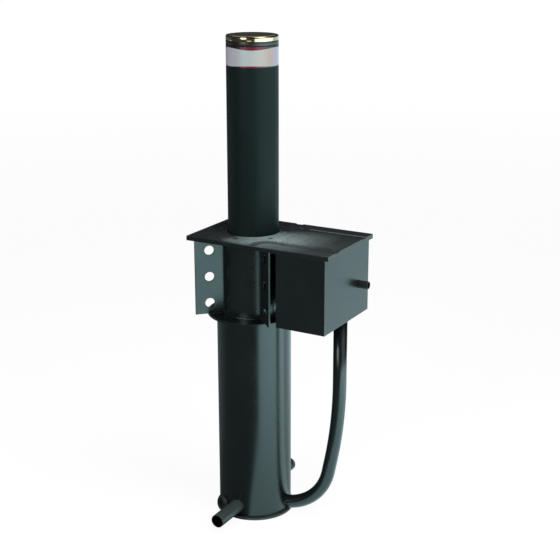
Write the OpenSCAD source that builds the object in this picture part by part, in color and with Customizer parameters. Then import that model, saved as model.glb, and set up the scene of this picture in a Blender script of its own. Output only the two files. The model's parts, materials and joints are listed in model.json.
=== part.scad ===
// Retractable bollard: a steel post on a hydraulic ram, which sinks into a buried casing.
// Millimetres, +Z up. The origin is on the post's axis, on the underside of the base disc.
// +X points to the side box and -Y to the front drain. The post is drawn raised.

/* [Post] */
// Outer diameter of the post
post_d = 210; // [196:1:230]
// Height of the raised post above the top plate
post_rise = 800; // [600:5:900]
// Wall of the post tube
post_wall = 6; // [4:0.5:8]
// Height of the polished cap's rim
cap_h = 20; // [14:1:30]
// Height of the dark ring under the cap
head_ring_h = 16; // [10:1:24]
// Height of the reflective band
band_h = 80; // [50:1:100]
// Thickness of the reflective band, let into the post
band_t = 0.6; // [0.4:0.1:1]

/* [Casing] */
// Free width between the post and the casing's bore
annulus = 45.5; // [43:0.5:60]
// Wall of the casing tube
casing_wall = 6; // [4:0.5:8]
// Free height between the sunk post and the underside of the base
sump_h = 50; // [50:1:60]
// Thickness of the base disc
base_t = 8; // [6:1:9]
// How far the base disc stands out from the casing
base_lip = 13; // [8:1:20]

/* [Top plate] */
// Width of the top plate, across the box
plate_w = 400; // [390:1:440]
// Reach of the plate from the post's axis, away from the box
plate_left = 200; // [190:1:230]
// Reach of the plate past the end of the box
plate_overhang = 15; // [12:1:25]
// Thickness of the plate's sheet
plate_t = 8; // [7:0.5:10]
// Depth of the plate's rim
edge_h = 19; // [16:1:24]
// Width of the bars that make the rim
rim_w = 18; // [16:1:18]

/* [Anchor fins and flange] */
// Direction of the rear right fin, turned from +X
fin_turn = 45; // [42:0.5:48]
// Reach of a fin from the casing
fin_reach = 94.5; // [80:0.5:96]
// Thickness of a fin
fin_t = 8; // [6:1:10]
// Height of a fin and of the sheet above it
fin_drop = 342; // [320:1:370]
// Diameter of an anchor hole
fin_hole_d = 40; // [30:1:44]
// Distance from the casing to the middle of an anchor hole
fin_hole_out = 33; // [28:0.5:45]
// Depth of the first anchor hole below the plate
fin_hole_top = 68.5; // [60:0.5:80]
// Distance between anchor holes
fin_hole_pitch = 113; // [90:1:120]
// Width of the flange ring
flange_reach = 38.5; // [30:0.5:45]
// Thickness of the flange ring
flange_t = 10; // [8:1:14]

/* [Side box] */
// Distance from the casing to the box
box_gap = 60.5; // [56:0.5:75]
// Length of the box
box_l = 218; // [212:1:260]
// Height from the box's underside to the top of the plate
box_drop = 326; // [310:1:360]
// How far the plate stands past each side of the box
box_side = 3; // [2:0.5:5]
// Wall of the box
box_wall = 4; // [3:0.5:5]
// Outer diameter of the cable entry pipe
entry_d = 32; // [25:1:36]
// Bore of the cable entry pipe
entry_bore = 25; // [18:1:28]
// How far the cable entry stands out of the box
entry_l = 42; // [30:1:60]
// Distance of the cable entry from the middle of the end face
entry_y = 112; // [90:1:125]
// Depth of the cable entry below the plate
entry_drop = 194; // [190:1:215]

/* [Access cover] */
// Width of the cover
cover_w = 284; // [260:1:300]
// Width of the ribbed field between the sunk margins
tread_w = 202; // [180:1:210]
// Depth of the sunk margins
margin_d = 3; // [2:0.5:3]

/* [Pipes] */
// Outer diameter of the conduit and of the drain pipes
pipe_d = 57; // [50:1:58]
// Wall of these pipes
pipe_wall = 3.5; // [2.5:0.5:5]
// Direction of the conduit, turned from +X towards +Y
conduit_turn = 4; // [2:0.5:8]
// Distance from the end of the box to the conduit
conduit_inset = 41; // [36:1:60]
// Height where the conduit meets the casing's bore
conduit_foot = 38.5; // [38:0.5:42]
// Height where the conduit starts to lean in
lean_z = 637; // [560:1:680]
// Radius of the lean
lean_r = 1850; // [1600:10:2000]
// Angle of the lean
lean_angle = 11.2; // [8:0.1:12]
// Radius of the lower bend
bend_r = 225; // [180:1:235]
// Angle of the lower run, measured from upright
run_angle = 81; // [78:0.5:84]
// Height of the drain pipes
drain_z = 54; // [48:1:58]
// Reach of the drain pipes from the post's axis
drain_reach = 316; // [240:1:400]
// Direction of the plugged outlet, turned from +X
outlet_turn = -120; // [-130:1:-116]
// Height of the plugged outlet
outlet_z = 42; // [40:1:60]
// How far the plugged outlet stands out of the casing
outlet_reach = 12; // [10:1:40]

/* [Hydraulic ram] */
// Outer diameter of the barrel
barrel_d = 80; // [70:1:84]
// Wall of the barrel
barrel_wall = 7.5; // [6:0.5:9]
// Diameter of the rod
rod_d = 45; // [40:1:50]
// Diameter of the rod's threaded end
rod_end_d = 30; // [24:1:34]
// Diameter of the pin at the ram's foot
foot_pin_d = 25; // [20:1:28]
// Height of the pin above the base disc
foot_pin_h = 60; // [50:1:66]
// Height of the barrel's lower end
barrel_z = 140; // [132:1:160]

/* [Power unit] */
// Diameter of the motor
motor_d = 110; // [90:1:112]
// Length of the motor
motor_l = 140; // [110:1:146]
// Width and height of the valve block
block_w = 110; // [104:1:114]
// Length of the valve block
block_l = 60; // [56:1:64]
// Height of the unit's axis above the box's underside
unit_h = 111; // [100:1:120]
// Distance from the casing's side of the box to the unit's axis
unit_in = 83; // [76:1:88]
// Diameter of the hydraulic hose
hose_d = 12.5; // [10:0.5:13]
// Length of the release lever
lever_l = 60; // [40:1:70]

/* [Hidden] */
$fn = 96;
// Gap between pieces that slide on each other
run_gap = 0.5;
// Gap between pieces that are fitted together
fit_gap = 0.3;
// Gap between a shaft and its bore
shaft_gap = 0.05;
// Extra length of a cut, so that it passes right through
over = 1;

// Radii and levels: the raised post's guide ring stays just under the flange
lower_guide_h = 40;
guide_clear = 3;
post_r = post_d / 2;
post_ri = post_r - post_wall;
casing_ri = post_r + annulus;
casing_r = casing_ri + casing_wall;
base_r = casing_r + base_lip;
post_guided = fin_drop + flange_t + guide_clear + lower_guide_h;
plate_z = sump_h + post_guided + post_rise;
sheet_z = plate_z - plate_t;
rim_z = plate_z - edge_h;
post_top = plate_z + post_rise;
post_foot = plate_z - post_guided;

// Side box and plate
box_x = casing_r + box_gap;
box_end = box_x + box_l;
box_w = plate_w - 2 * box_side;
box_z = plate_z - box_drop;
box_floor = box_z + box_wall;
plate_end = box_end + plate_overhang;
plate_l = plate_left + plate_end;
entry_z = plate_z - entry_drop;

// Fins and flange
fin_z = plate_z - fin_drop;
flange_z = fin_z - flange_t;
flange_r = casing_r + flange_reach;
fin_hole_r = casing_r + fin_hole_out;

// Cover and its ledge
ledge_lap = 12;
ledge_out = 8;
cover_in = 27;
cover_x = box_x - cover_in;
margin_lip = 2;
margin_ramp = 8;
margin_in = tread_w / 2;
margin_out = cover_w / 2 - margin_lip;
margin_half = (margin_out - margin_in) / 2;
margin_mid = (margin_in + margin_out) / 2;
margin_bend = 50;
margin_short = 80;
margin_x = cover_x - margin_short;
cover_screw_y = margin_mid;
cover_screw_x = [cover_x + cover_in / 2, plate_end - rim_w / 2];

// Screws: M8, countersunk
screw_r = 4;
screw_head_r = 7.5;
screw_head_h = 4.4;
screw_l = 15;

// Collar, wiper, guide and seat
collar_run = 2;
wiper_w = 11;
wiper_h = 5;
guide_wall = 18;
guide_l = 100;
shoulder_w = 22;
shoulder_h = 6;
seat_h = 20;
guide_r = post_r + guide_wall;
tube_ri = guide_r + fit_gap;
tube_r = tube_ri + casing_wall;
tube_top = sheet_z - shoulder_h;
shoulder_r = post_r + shoulder_w;
collar_screw_r = (shoulder_r + casing_ri) / 2;
collar_screws_n = 6;

// Lower guide, rail and stops
rail_w = 14;
rail_t = 10;
rail_clear = 8;
rail_z = drain_z + pipe_d / 2;
rail_top = flange_z - rail_clear;
stop_circle = post_r + annulus / 2;
stop_post_r = 16;
stop_pad_r = 18;
stop_pad_h = 29;
stop_turns = [60, 180, 300];

// Ram
barrel_r = barrel_d / 2;
barrel_ri = barrel_r - barrel_wall;
barrel_cap = 20;
piston_h = 40;
gland_in = 20;
gland_out = 25;
gland_rim = 6;
rod_r = rod_d / 2;
rod_end_r = rod_end_d / 2;
piston_clear = 10;
piston_low = barrel_z + barrel_cap + piston_clear;
piston_z = piston_low + post_rise;
rod_z = piston_z + piston_h;
gland_clear = 5;
gland_z = rod_z + gland_clear;
barrel_top = gland_z + gland_in;
gland_top = barrel_top + gland_out;
bridge_clear = 15;
bridge_z = gland_top + bridge_clear + post_rise;
bridge_t = 20;
nut_h = 24;
nut_wall = 12;
nut_r = rod_end_r + nut_wall;
foot_pin_z = base_t + foot_pin_h;
eye_wall = 12;
eye_r = foot_pin_d / 2 + eye_wall;
eye_t = 30;
lug_t = 12;
lug_gap = 1;
foot_w = 110;
foot_t = 12;
pin_past = 6;
lug_y = eye_t / 2 + lug_gap;
pin_l = 2 * (lug_y + lug_t + pin_past);

// Head
head_ring_z = post_top - cap_h - head_ring_h;
band_drop = 4;
band_z = head_ring_z - band_drop - band_h;
spigot_l = 14;
cap_edge = 3;

// Conduit: a straight drop, a lean, a slant, a bend and a run that meets the casing's bore at its foot
pipe_r = pipe_d / 2;
pipe_ri = pipe_r - pipe_wall;
conduit_x = box_end - conduit_inset;
conduit_s = conduit_x / cos(conduit_turn);
conduit_y = conduit_s * sin(conduit_turn);
lean_end_s = conduit_s - lean_r * (1 - cos(lean_angle));
lean_end_z = lean_z - lean_r * sin(lean_angle);
bend_drop = bend_r * (sin(run_angle) - sin(lean_angle));
bend_in = bend_r * (cos(lean_angle) - cos(run_angle));
slant_l = (lean_end_z - bend_drop - conduit_foot - (lean_end_s - bend_in - casing_ri) / tan(run_angle))
    / (cos(lean_angle) - sin(lean_angle) / tan(run_angle));
slant_end_s = lean_end_s - slant_l * sin(lean_angle);
slant_end_z = lean_end_z - slant_l * cos(lean_angle);
run_s = slant_end_s - bend_in;
run_z = slant_end_z - bend_drop;
run_past = 8;
lean_steps = 6;
bend_steps = 14;
pipe_sides = 36;
outlet_end = casing_r + outlet_reach;
plug_head = 5;
plug_lip = 1;

// Hose: it follows the conduit, then turns up to the ram
hose_r = hose_d / 2;
hose_in = 26;
hose_s = barrel_r + hose_in;
hose_turn_r = 50;
hose_turn_s = hose_s + hose_turn_r * (1 + cos(run_angle));
hose_turn_z = run_point(hose_turn_s)[1] + hose_turn_r * sin(run_angle);
hose_steps = 8;
hose_sides = 12;
ram_port_z = barrel_z + barrel_cap / 2;
nipple_l = 18;
fitting_r = 10;
fitting_past = 12;

// Power unit
unit_x = box_x + unit_in;
unit_z = box_z + unit_h;
block_set = 15;
block_y = conduit_y - block_set;
block_top = unit_z + block_w / 2;
block_back = block_y + block_l / 2;
block_front = block_y - block_l / 2;
tank_gap = 8;
tank_end = -(box_w / 2 - box_wall - tank_gap);
tank_l = block_front - tank_end;
tank_w = block_w;
tank_wall = 3;
tank_wi = tank_w - 2 * tank_wall;
tank_top = unit_z + tank_w / 2;
pump_w = 64;
pump_l = 80;
bracket_t = 6;
cap_r = 18;
filler_h = 14;
coil_r = 18;
coil_h = 60;
coil_set = 15;
coil_x = unit_x - coil_set;
lever_set = 35;
lever_x = unit_x + lever_set;
lever_hub_r = 9;
lever_hub_h = 22;
lever_pin_r = 5;
lever_pin_l = 15;
lever_w = 10;
lever_t = 6;
terminal_t = 45;
terminal_w = 100;
terminal_h = 100;
terminal_set = 20;
terminal_y = block_back + terminal_set;
terminal_x = box_end - box_wall - terminal_t;
terminal_rise = 6;
terminal_z = block_top + terminal_rise;
lead_r = 5;
motor_lead_rise = 40;
motor_lead_in = 18;
motor_lead_y = terminal_y + motor_lead_in;
coil_lead_rise = 45;
coil_lead_z = block_top + coil_lead_rise;
coil_lead_r = 32;
coil_lead_x = terminal_x + terminal_t / 2;

// Colours
paint = [0.17, 0.21, 0.22];
post_paint = [0.09, 0.13, 0.13];
steel = [0.66, 0.68, 0.70];
bright = [0.82, 0.80, 0.75];
black = [0.06, 0.06, 0.07];
polymer = [0.78, 0.76, 0.68];
rubber = [0.05, 0.05, 0.05];

// Shared shapes

// A tube that stands at height z
module tube(r, ri, z, h) {
    translate([0, 0, z])
        difference() {
            cylinder(r = r, h = h);
            translate([0, 0, -over]) cylinder(r = ri, h = h + 2 * over);
        }
}

// A countersunk screw with its head's top at the origin, or its hole when grown by a gap
module screw(gap = 0) {
    translate([0, 0, -screw_head_h])
        cylinder(r1 = screw_r + gap, r2 = screw_head_r + gap, h = screw_head_h);
    translate([0, 0, -screw_l - gap])
        cylinder(r = screw_r + gap, h = screw_l + gap);
}

// Places of the collar's screws
module at_collar_screws() {
    for (i = [0 : collar_screws_n - 1])
        rotate([0, 0, (i + 0.5) * 360 / collar_screws_n])
            translate([collar_screw_r, 0, plate_z])
                children();
}

// Places of the cover's screws
module at_cover_screws() {
    for (x = cover_screw_x, y = [-cover_screw_y, cover_screw_y])
        translate([x, y, plate_z - margin_d])
            children();
}

// A round bar bent in the XZ plane about (s, z), between two angles
module bend(s, z, bend_radius, from_angle, to_angle, r) {
    translate([s, 0, z])
        rotate([90, 0, 0])
            rotate([0, 0, from_angle])
                rotate_extrude(angle = to_angle - from_angle)
                    translate([bend_radius, 0])
                        circle(r = r);
}

// Points of an arc in the XZ plane, as (s, z) pairs
function arc_points(s, z, r, from_angle, to_angle, steps) = [
    for (i = [0 : steps])
        let (angle = from_angle + (to_angle - from_angle) * i / steps)
            [s + r * cos(angle), z + r * sin(angle)]
];

// The conduit's route from the given top to the start of its lower run
function conduit_route(top) = concat(
    [[conduit_s, top]],
    arc_points(conduit_s - lean_r, lean_z, lean_r, 0, -lean_angle, lean_steps),
    arc_points(slant_end_s - bend_r * cos(lean_angle), slant_end_z + bend_r * sin(lean_angle),
        bend_r, -lean_angle, -run_angle, bend_steps)
);

// A point on the conduit's lower run, at a distance s from the axis
function run_point(s) = [s, run_z - (run_s - s) / tan(run_angle)];

// Which way a route heads at one of its points
function heading(route, i) =
    let (step = route[min(i + 1, len(route) - 1)] - route[max(i - 1, 0)])
        step / norm(step);

// A ring of points about a point of a route, square to it
function ring(route, i, r, sides) =
    let (way = heading(route, i))
        [for (k = [0 : sides - 1])
            let (turn = 360 * k / sides)
                [route[i][0] + r * cos(turn) * way[1], r * sin(turn), route[i][1] - r * cos(turn) * way[0]]];

// Triangles between one ring of points and the next
function band_faces(from_ring, to_ring, sides) = [
    for (k = [0 : sides - 1])
        let (a = from_ring * sides + k, b = from_ring * sides + (k + 1) % sides,
            c = to_ring * sides + k, d = to_ring * sides + (k + 1) % sides)
            each [[a, c, b], [b, c, d]]
];

// A pipe swept along a route: out along its outside and back along its bore
module pipe_sweep(route, r, ri, sides) {
    last = len(route) - 1;
    rings = concat([for (i = [0 : last]) ring(route, i, r, sides)],
        [for (i = [last : -1 : 0]) ring(route, i, ri, sides)]);
    polyhedron(points = [for (one = rings) each one],
        faces = [for (i = [0 : len(rings) - 1]) each band_faces(i, (i + 1) % len(rings), sides)]);
}

// A round bar swept along a route
module bar_sweep(route, r, sides) {
    last = len(route) - 1;
    sides_faces = [for (i = [0 : last - 1]) each band_faces(i, i + 1, sides)];
    first_end = [for (k = [0 : sides - 1]) k];
    far_end = [for (k = [sides - 1 : -1 : 0]) last * sides + k];
    polyhedron(points = [for (i = [0 : last]) each ring(route, i, r, sides)],
        faces = concat(sides_faces, [first_end, far_end]));
}

// A level pipe from the axis outwards, at height z and turned by an angle
module level_bar(r, turn, z, reach) {
    rotate([0, 0, turn])
        translate([0, 0, z])
            rotate([0, 90, 0])
                cylinder(r = r, h = reach);
}

// A pipe stub that starts at the casing's bore
module stub(turn, z, reach) {
    difference() {
        level_bar(pipe_r, turn, z, reach);
        level_bar(pipe_ri, turn, z, reach + over);
        cylinder(r = casing_ri, h = plate_z);
    }
}

// Casing

module base_disc() {
    color(paint) cylinder(r = base_r, h = base_t);
}

module casing_tube() {
    color(paint)
        difference() {
            tube(casing_r, casing_ri, base_t, flange_z - base_t);
            rotate([0, 0, conduit_turn])
                translate([run_s, 0, run_z])
                    rotate([0, 180 + run_angle, 0])
                        cylinder(r = pipe_r + fit_gap, h = run_s);
            level_bar(pipe_r + fit_gap, -90, drain_z, drain_reach);
            level_bar(pipe_r + fit_gap, 90, drain_z, drain_reach);
            level_bar(pipe_r + fit_gap, outlet_turn, outlet_z, drain_reach);
        }
}

module flange_ring() {
    color(paint) tube(flange_r, tube_r, flange_z, flange_t);
}

module guide_tube() {
    color(paint) tube(tube_r, tube_ri, flange_z, tube_top - flange_z);
}

// One anchor fin, with its row of holes
module fin(turn) {
    color(paint)
        rotate([0, 0, turn])
            difference() {
                translate([0, -fin_t / 2, fin_z])
                    cube([casing_r + fin_reach, fin_t, sheet_z - fin_z]);
                translate([0, 0, fin_z - over]) cylinder(r = tube_r, h = fin_drop);
                translate([0, 0, sheet_z - seat_h]) cylinder(r = casing_r, h = seat_h + over);
                for (i = [0 : 2])
                    translate([fin_hole_r, 0, plate_z - fin_hole_top - i * fin_hole_pitch])
                        rotate([90, 0, 0])
                            cylinder(d = fin_hole_d, h = fin_t + 2 * over, center = true);
            }
}

module fin_front_left() { fin(fin_turn - 180); }
module fin_front_right() { fin(-fin_turn); }
module fin_rear_right() { fin(fin_turn); }
module fin_rear_left() { fin(180 - fin_turn); }

module guide_rail() {
    color(steel)
        intersection() {
            cylinder(r = casing_ri, h = plate_z);
            translate([-rail_w / 2, casing_ri - rail_t, rail_z])
                cube([rail_w, 2 * rail_t, rail_top - rail_z]);
        }
}

module buffer_posts() {
    color(steel)
        for (turn = stop_turns)
            rotate([0, 0, turn])
                translate([stop_circle, 0, base_t])
                    cylinder(r = stop_post_r, h = sump_h - run_gap - stop_pad_h - base_t);
}

module buffer_pads() {
    color(rubber)
        for (turn = stop_turns)
            rotate([0, 0, turn])
                translate([stop_circle, 0, sump_h - run_gap - stop_pad_h])
                    cylinder(r = stop_pad_r, h = stop_pad_h);
}

// Top plate and cover

// Cross-section of a sunk margin about its middle, with ramped walls
module margin_section() {
    ramp_past = margin_ramp * over / margin_d;
    polygon([[-margin_half - ramp_past, over], [margin_ramp - margin_half, -margin_d],
        [margin_half - margin_ramp, -margin_d], [margin_half + ramp_past, over]]);
}

// The sunk margin along the rear of the cover
module margin_run(start) {
    translate([start, margin_mid, plate_z])
        rotate([90, 0, 90])
            linear_extrude(plate_end + over - start)
                margin_section();
}

// The same margin with its bend, which turns it out to the plate's rear edge
module margin_trough() {
    margin_run(margin_x + margin_bend);
    translate([margin_x + margin_bend, margin_mid + margin_bend, plate_z])
        rotate([0, 0, 180])
            rotate_extrude(angle = 90)
                translate([margin_bend, 0])
                    margin_section();
    translate([margin_x, margin_mid + margin_bend, plate_z])
        rotate([90, 0, 180])
            linear_extrude(plate_w / 2)
                margin_section();
}

module top_plate() {
    color(paint)
        difference() {
            translate([-plate_left, -plate_w / 2, rim_z])
                cube([plate_l, plate_w, edge_h]);
            translate([-plate_left + rim_w, -plate_w / 2 + rim_w, rim_z - over])
                cube([plate_l - 2 * rim_w, plate_w - 2 * rim_w, edge_h - plate_t + over]);
            cylinder(r = casing_ri, h = plate_z + over);
            translate([cover_x - fit_gap, -cover_w / 2 - fit_gap, sheet_z])
                cube([plate_end - cover_x + over, cover_w + 2 * fit_gap, plate_t + over]);
            margin_trough();
            mirror([0, 1, 0]) margin_trough();
            at_cover_screws() screw(shaft_gap);
        }
}

module access_cover() {
    color(paint)
        difference() {
            translate([cover_x, -cover_w / 2, sheet_z])
                cube([plate_end - cover_x, cover_w, plate_t]);
            margin_run(cover_x - over);
            mirror([0, 1, 0]) margin_run(cover_x - over);
            at_cover_screws() screw(fit_gap);
        }
}

module cover_ledge() {
    ledge_x = cover_x - ledge_out;
    inner_x = box_x + box_wall;
    outer_w = cover_w + 2 * ledge_out;
    inner_w = cover_w - 2 * ledge_lap;
    color(paint)
        difference() {
            translate([ledge_x, -outer_w / 2, rim_z])
                cube([plate_end - rim_w - ledge_x, outer_w, edge_h - plate_t]);
            translate([inner_x, -inner_w / 2, rim_z - over])
                cube([plate_end - inner_x, inner_w, edge_h]);
            at_cover_screws() screw(shaft_gap);
        }
}

module cover_screws() {
    color(steel) at_cover_screws() screw();
}

module collar_ring() {
    color(paint)
        difference() {
            tube(casing_ri - fit_gap, post_r + collar_run, sheet_z, plate_t);
            translate([0, 0, sheet_z - over])
                cylinder(r = post_r + wiper_w + shaft_gap, h = wiper_h + over);
            at_collar_screws() screw(fit_gap);
        }
}

module collar_screws() {
    color(steel) at_collar_screws() screw();
}

module wiper_seal() {
    color(rubber) tube(post_r + wiper_w, post_r + fit_gap, sheet_z, wiper_h);
}

module upper_guide() {
    color(polymer)
        difference() {
            union() {
                translate([0, 0, sheet_z - guide_l]) cylinder(r = guide_r, h = guide_l);
                translate([0, 0, sheet_z - shoulder_h]) cylinder(r = shoulder_r, h = shoulder_h);
            }
            translate([0, 0, sheet_z - guide_l - over])
                cylinder(r = post_r + run_gap, h = guide_l + 2 * over);
        }
}

module seat_ring() {
    color(steel)
        difference() {
            tube(casing_r, tube_r, sheet_z - seat_h, seat_h);
            at_collar_screws() screw(shaft_gap);
        }
}

// Side box and pipes

module side_box() {
    color(paint)
        difference() {
            translate([box_x, -box_w / 2, box_z])
                cube([box_l, box_w, rim_z - box_z]);
            translate([box_x + box_wall, -box_w / 2 + box_wall, box_floor])
                cube([box_l - 2 * box_wall, box_w - 2 * box_wall, rim_z]);
            translate([conduit_x, conduit_y, box_z - over])
                cylinder(r = pipe_r + fit_gap, h = box_wall + 2 * over);
            translate([box_end - box_wall - over, entry_y, entry_z])
                rotate([0, 90, 0])
                    cylinder(d = entry_d + 2 * fit_gap, h = box_wall + 2 * over);
        }
}

module cable_entry() {
    color(black)
        translate([box_end - box_wall, entry_y, entry_z])
            rotate([0, 90, 0])
                difference() {
                    cylinder(d = entry_d, h = box_wall + entry_l);
                    translate([0, 0, -over]) cylinder(d = entry_bore, h = box_wall + entry_l + 2 * over);
                }
}

module conduit() {
    route = concat(conduit_route(box_floor), [run_point(casing_ri - run_past)]);
    color(paint)
        difference() {
            rotate([0, 0, conduit_turn])
                pipe_sweep(route, pipe_r, pipe_ri, pipe_sides);
            cylinder(r = casing_ri, h = plate_z);
        }
}

module front_drain() { color(paint) stub(-90, drain_z, drain_reach); }
module rear_drain() { color(paint) stub(90, drain_z, drain_reach); }
module outlet_boss() { color(paint) stub(outlet_turn, outlet_z, outlet_end); }

module outlet_plug() {
    color(black)
        rotate([0, 0, outlet_turn])
            translate([casing_r, 0, outlet_z])
                rotate([0, 90, 0])
                    difference() {
                        union() {
                            cylinder(r = pipe_ri - shaft_gap, h = outlet_reach);
                            translate([0, 0, outlet_reach]) cylinder(r = pipe_r - plug_lip, h = plug_head);
                        }
                        translate([0, 0, outlet_reach - plug_head])
                            cylinder(r = pipe_ri / 2, h = 3 * plug_head, $fn = 6);
                    }
}

// Post

module post_tube() {
    color(post_paint)
        difference() {
            tube(post_r, post_ri, post_foot, head_ring_z - post_foot);
            tube(post_r + over, post_r - band_t, band_z, band_h);
        }
}

module head_cap() {
    color(bright) {
        translate([0, 0, post_top - cap_h])
            rotate_extrude()
                polygon([[0, 0], [post_r, 0], [post_r, cap_h - cap_edge],
                    [post_r - cap_edge, cap_h], [0, cap_h]]);
        translate([0, 0, head_ring_z - spigot_l])
            cylinder(r = post_ri - fit_gap, h = head_ring_h + spigot_l);
    }
}

module head_ring() {
    color(black) tube(post_r, post_ri, head_ring_z, head_ring_h);
}

module reflective_band() {
    color([0.86, 0.86, 0.88]) tube(post_r, post_r - band_t, band_z, band_h);
}

module lower_guide() {
    color(polymer)
        difference() {
            tube(casing_ri - run_gap, post_r, post_foot, lower_guide_h);
            translate([-rail_w / 2 - run_gap, casing_ri - rail_t - run_gap, post_foot - over])
                cube([rail_w + 2 * run_gap, 2 * rail_t, lower_guide_h + 2 * over]);
        }
}

module rod_bridge() {
    color(steel) tube(post_ri, rod_end_r + shaft_gap, bridge_z, bridge_t);
}

module rod_nut() {
    color(steel)
        translate([0, 0, bridge_z + bridge_t])
            difference() {
                cylinder(r = nut_r, h = nut_h, $fn = 6);
                translate([0, 0, -over]) cylinder(r = rod_end_r + shaft_gap, h = nut_h + 2 * over);
            }
}

// Ram

module ram_rod() {
    color(bright) {
        translate([0, 0, rod_z]) cylinder(r = rod_r, h = bridge_z - rod_z);
        translate([0, 0, bridge_z]) cylinder(r = rod_end_r, h = bridge_t + nut_h);
    }
}

module ram_piston() {
    color(steel)
        translate([0, 0, piston_z]) cylinder(r = barrel_ri - fit_gap, h = piston_h);
}

module ram_barrel() {
    color(black)
        difference() {
            union() {
                translate([0, 0, barrel_z]) cylinder(r = barrel_r, h = barrel_top - barrel_z);
                translate([-eye_r, -eye_t / 2, foot_pin_z])
                    cube([2 * eye_r, eye_t, barrel_z - foot_pin_z]);
                translate([0, 0, foot_pin_z])
                    rotate([90, 0, 0])
                        cylinder(r = eye_r, h = eye_t, center = true);
            }
            translate([0, 0, barrel_z + barrel_cap]) cylinder(r = barrel_ri, h = barrel_top);
            translate([0, 0, foot_pin_z])
                rotate([90, 0, 0])
                    cylinder(r = foot_pin_d / 2 + shaft_gap, h = eye_t + 2 * over, center = true);
        }
}

module ram_gland() {
    color(steel)
        difference() {
            union() {
                translate([0, 0, gland_z]) cylinder(r = barrel_ri - shaft_gap, h = gland_in);
                translate([0, 0, barrel_top]) cylinder(r = barrel_r + gland_rim, h = gland_out);
            }
            translate([0, 0, gland_z - over])
                cylinder(r = rod_r + fit_gap, h = gland_in + gland_out + 2 * over);
        }
}

module ram_foot() {
    color(steel)
        difference() {
            union() {
                translate([-foot_w / 2, -foot_w / 2, base_t]) cube([foot_w, foot_w, foot_t]);
                for (side = [-1, 1])
                    translate([0, side * (lug_y + lug_t / 2), 0]) {
                        translate([-eye_r, -lug_t / 2, base_t])
                            cube([2 * eye_r, lug_t, foot_pin_h]);
                        translate([0, 0, foot_pin_z])
                            rotate([90, 0, 0])
                                cylinder(r = eye_r, h = lug_t, center = true);
                    }
            }
            translate([0, 0, foot_pin_z])
                rotate([90, 0, 0])
                    cylinder(r = foot_pin_d / 2 + shaft_gap, h = foot_w, center = true);
        }
}

module foot_pin() {
    color(bright)
        translate([0, 0, foot_pin_z])
            rotate([90, 0, 0])
                cylinder(d = foot_pin_d, h = pin_l, center = true);
}

// Power unit

module unit_bracket() {
    bracket_h = unit_z - block_w / 2 - box_floor;
    color(steel)
        translate([unit_x - block_w / 2, block_front, box_floor])
            difference() {
                cube([block_w, block_l, bracket_h]);
                translate([-over, bracket_t, -over])
                    cube([block_w + 2 * over, block_l - 2 * bracket_t, bracket_h - bracket_t + over]);
            }
}

module valve_block() {
    color(steel)
        difference() {
            translate([unit_x - block_w / 2, block_front, unit_z - block_w / 2])
                cube([block_w, block_l, block_w]);
            translate([lever_x, block_y, block_top - lever_pin_l])
                cylinder(r = lever_pin_r + shaft_gap, h = lever_pin_l + over);
        }
}

module pump_motor() {
    color(black)
        translate([unit_x, block_back, unit_z])
            rotate([-90, 0, 0])
                cylinder(d = motor_d, h = motor_l);
}

module gear_pump() {
    color(steel)
        translate([unit_x - pump_w / 2, block_front - pump_l, unit_z - pump_w / 2])
            cube([pump_w, pump_l, pump_w]);
}

module oil_tank() {
    color(black)
        difference() {
            translate([unit_x - tank_w / 2, tank_end, unit_z - tank_w / 2])
                cube([tank_w, tank_l, tank_w]);
            translate([unit_x - tank_wi / 2, tank_end + tank_wall, unit_z - tank_wi / 2])
                cube([tank_wi, tank_l, tank_wi]);
        }
}

module filler_cap() {
    color(rubber)
        translate([unit_x, (tank_end + block_front) / 2, tank_top])
            cylinder(r = cap_r, h = filler_h);
}

module solenoid_valve() {
    color(black)
        translate([coil_x, block_y, block_top])
            cylinder(r = coil_r, h = coil_h);
}

module release_lever() {
    color("firebrick") {
        translate([lever_x, block_y, block_top - lever_pin_l])
            cylinder(r = lever_pin_r, h = lever_pin_l + fit_gap);
        translate([lever_x, block_y, block_top + fit_gap])
            cylinder(r = lever_hub_r, h = lever_hub_h);
        translate([lever_x, block_y - lever_w / 2, block_top + fit_gap + lever_hub_h - lever_t])
            cube([lever_l, lever_w, lever_t]);
    }
}

module terminal_box() {
    color(black)
        translate([terminal_x, terminal_y, terminal_z])
            cube([terminal_t, terminal_w, terminal_h]);
}

// Lead from the terminal box over and down into the top of the motor
module motor_lead() {
    motor_top = unit_z + motor_d / 2;
    color(rubber)
        translate([0, motor_lead_y, 0]) {
            translate([unit_x + motor_lead_rise, 0, motor_top + motor_lead_rise])
                rotate([0, 90, 0])
                    cylinder(r = lead_r, h = terminal_x - unit_x - motor_lead_rise);
            bend(unit_x + motor_lead_rise, motor_top, motor_lead_rise, 90, 180, lead_r);
        }
}

// Lead from the terminal box's side round to the solenoid valve
module solenoid_lead() {
    turn_y = block_y + coil_lead_r;
    color(rubber)
        translate([0, 0, coil_lead_z]) {
            translate([coil_lead_x, turn_y, 0])
                rotate([-90, 0, 0])
                    cylinder(r = lead_r, h = terminal_y - turn_y);
            translate([coil_lead_x - coil_lead_r, turn_y, 0])
                rotate([0, 0, -90])
                    rotate_extrude(angle = 90)
                        translate([coil_lead_r, 0])
                            circle(r = lead_r);
            difference() {
                translate([coil_x, block_y, 0])
                    rotate([0, 90, 0])
                        cylinder(r = lead_r, h = coil_lead_x - coil_lead_r - coil_x);
                translate([coil_x, block_y, -2 * lead_r])
                    cylinder(r = coil_r, h = 4 * lead_r);
            }
        }
}

module hydraulic_hose() {
    route = concat(conduit_route(unit_z - nipple_l),
        arc_points(hose_s + hose_turn_r, hose_turn_z, hose_turn_r, 360 - run_angle, 180, hose_steps),
        [[hose_s, ram_port_z - nipple_l]]);
    color(rubber)
        rotate([0, 0, conduit_turn])
            bar_sweep(route, hose_r, hose_sides);
}

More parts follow.
